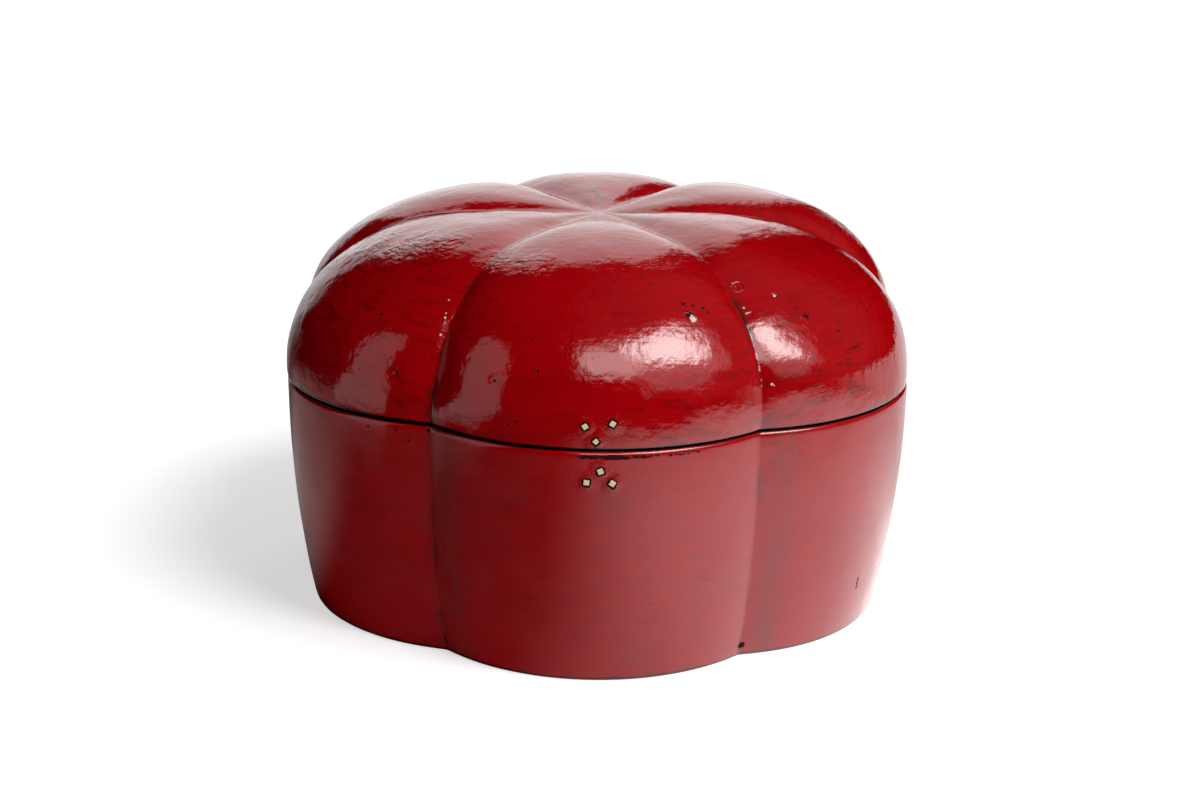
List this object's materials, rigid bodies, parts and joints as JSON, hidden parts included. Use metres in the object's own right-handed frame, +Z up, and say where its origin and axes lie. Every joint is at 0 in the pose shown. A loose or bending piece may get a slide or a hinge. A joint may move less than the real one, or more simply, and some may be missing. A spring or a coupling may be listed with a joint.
{
  "type": "lobed lacquer box with lid",
  "caption": "Flower-shaped lacquered wood box with straight lobed walls, an inner collar and a domed, lobed lid that lifts off.",
  "frame": {"origin": "on the ground under the axis of the box", "axes": "+Z up along the axis, -Y towards the lobe with the marks, +X to the right as seen from there"},
  "size_m": [0.2858, 0.301, 0.1799],
  "materials": {
    "lid_lacquer": "glossy red lacquer over black, worn thin on the edges",
    "wall_lacquer": "red lacquer over black, duller than the lid",
    "black_lacquer": "black lacquer, satin",
    "bone": "polished bone, yellowed"
  },
  "bodies": {
    "base": {"floor_board": "black_lacquer", "wall_stave_1": "wall_lacquer", "wall_stave_2": "wall_lacquer", "wall_stave_3": "wall_lacquer", "wall_stave_4": "wall_lacquer", "wall_stave_5": "wall_lacquer", "wall_stave_6": "wall_lacquer", "collar_strip_1": "black_lacquer", "collar_strip_2": "black_lacquer", "collar_strip_3": "black_lacquer", "collar_strip_4": "black_lacquer", "collar_strip_5": "black_lacquer", "collar_strip_6": "black_lacquer", "base_mark_high": "bone", "base_mark_left": "bone", "base_mark_right": "bone"},
    "lid": {"lid_petal_1": "lid_lacquer", "lid_petal_2": "lid_lacquer", "lid_petal_3": "lid_lacquer", "lid_petal_4": "lid_lacquer", "lid_petal_5": "lid_lacquer", "lid_petal_6": "lid_lacquer", "lid_mark_left": "bone", "lid_mark_right": "bone", "lid_mark_low": "bone"}
  },
  "joints": [
    {"name": "lid_lift", "type": "slide", "parent": "base", "child": "lid", "axis": [0, 0, 1], "range_m": [0, 0.15]}
  ]
}
